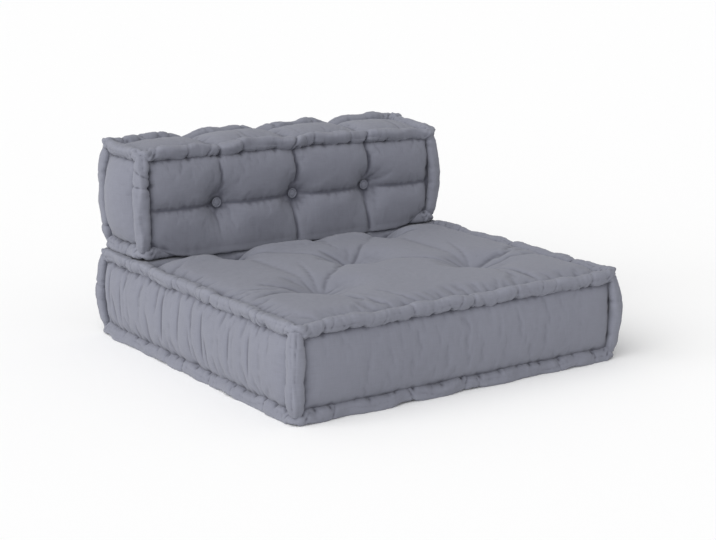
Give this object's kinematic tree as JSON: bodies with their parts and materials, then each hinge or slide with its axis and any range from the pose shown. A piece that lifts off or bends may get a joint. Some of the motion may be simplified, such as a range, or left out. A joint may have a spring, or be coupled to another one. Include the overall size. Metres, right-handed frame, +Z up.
{
  "type": "modular sofa",
  "caption": "Low floor sofa module: a square tufted seat cushion with stuffed rolled edges and a button-tufted back cushion that stands on its rear edge and lifts off.",
  "frame": {"origin": "on the floor under the middle of the seat cushion", "axes": "+X to the right as seen from the front, +Y to the rear, +Z up"},
  "size_m": [1, 1.0003, 0.5431],
  "materials": {
    "cover_cloth": "matte woven cotton",
    "wadding": "soft fibre",
    "foam": "open-cell foam",
    "twine": "waxed twine",
    "anchor_plastic": "matte",
    "zip_tape": "matte woven tape",
    "zip_teeth": "satin nylon",
    "zip_metal": "satin",
    "hook_and_loop": "napped tape"
  },
  "bodies": {
    "seat": {"seat_bottom_panel": "cover_cloth", "seat_core": "foam", "seat_corner_rolls": "cover_cloth", "seat_front_panel": "cover_cloth", "seat_left_panel": "cover_cloth", "seat_loop_strips": "hook_and_loop", "seat_rear_panel": "cover_cloth", "seat_right_panel": "cover_cloth", "seat_roll_bottom_front": "cover_cloth", "seat_roll_bottom_left": "cover_cloth", "seat_roll_bottom_rear": "cover_cloth", "seat_roll_bottom_right": "cover_cloth", "seat_roll_top_front": "cover_cloth", "seat_roll_top_left": "cover_cloth", "seat_roll_top_rear": "cover_cloth", "seat_roll_top_right": "cover_cloth", "seat_top_panel": "cover_cloth", "seat_top_wadding": "wadding", "seat_tuft_anchors": "anchor_plastic", "seat_tuft_buttons": "cover_cloth", "seat_tuft_twines": "twine", "seat_wadding": "wadding", "seat_zip_stops": "zip_teeth", "seat_zip_tapes": "zip_tape", "seat_zip_teeth": "zip_teeth"},
    "backrest": {"back_bottom_panel": "cover_cloth", "back_core": "foam", "back_corner_rolls": "cover_cloth", "back_front_buttons": "cover_cloth", "back_front_panel": "cover_cloth", "back_hook_strips": "hook_and_loop", "back_left_panel": "cover_cloth", "back_rear_buttons": "cover_cloth", "back_rear_panel": "cover_cloth", "back_right_panel": "cover_cloth", "back_roll_bottom_front": "cover_cloth", "back_roll_bottom_left": "cover_cloth", "back_roll_bottom_rear": "cover_cloth", "back_roll_bottom_right": "cover_cloth", "back_roll_top_front": "cover_cloth", "back_roll_top_left": "cover_cloth", "back_roll_top_rear": "cover_cloth", "back_roll_top_right": "cover_cloth", "back_top_panel": "cover_cloth", "back_tuft_twines": "twine", "back_wadding": "wadding", "back_zip_stops": "zip_teeth", "back_zip_tapes": "zip_tape", "back_zip_teeth": "zip_teeth"},
    "back_zip_slider": {"back_zip_slider": "zip_metal"},
    "seat_zip_slider": {"seat_zip_slider": "zip_metal"},
    "seat_zip_pull": {"seat_zip_pull": "zip_metal"}
  },
  "joints": [
    {"name": "back_lift", "type": "slide", "parent": "seat", "child": "backrest", "axis": [0, 0, 1], "range_m": [0, 0.35]},
    {"name": "seat_zip_run", "type": "slide", "parent": "seat", "child": "seat_zip_slider", "axis": [1, 0, 0], "range_m": [0, 0.7378]},
    {"name": "seat_zip_pull_turn", "type": "hinge", "parent": "seat_zip_slider", "child": "seat_zip_pull", "pos_m": [-0.3689, 0.49715, 0.12], "axis": [0, 0, 1], "range_deg": [0, 180]},
    {"name": "back_zip_run", "type": "slide", "parent": "backrest", "child": "back_zip_slider", "axis": [-1, 0, 0], "range_m": [0, 0.7098]}
  ]
}
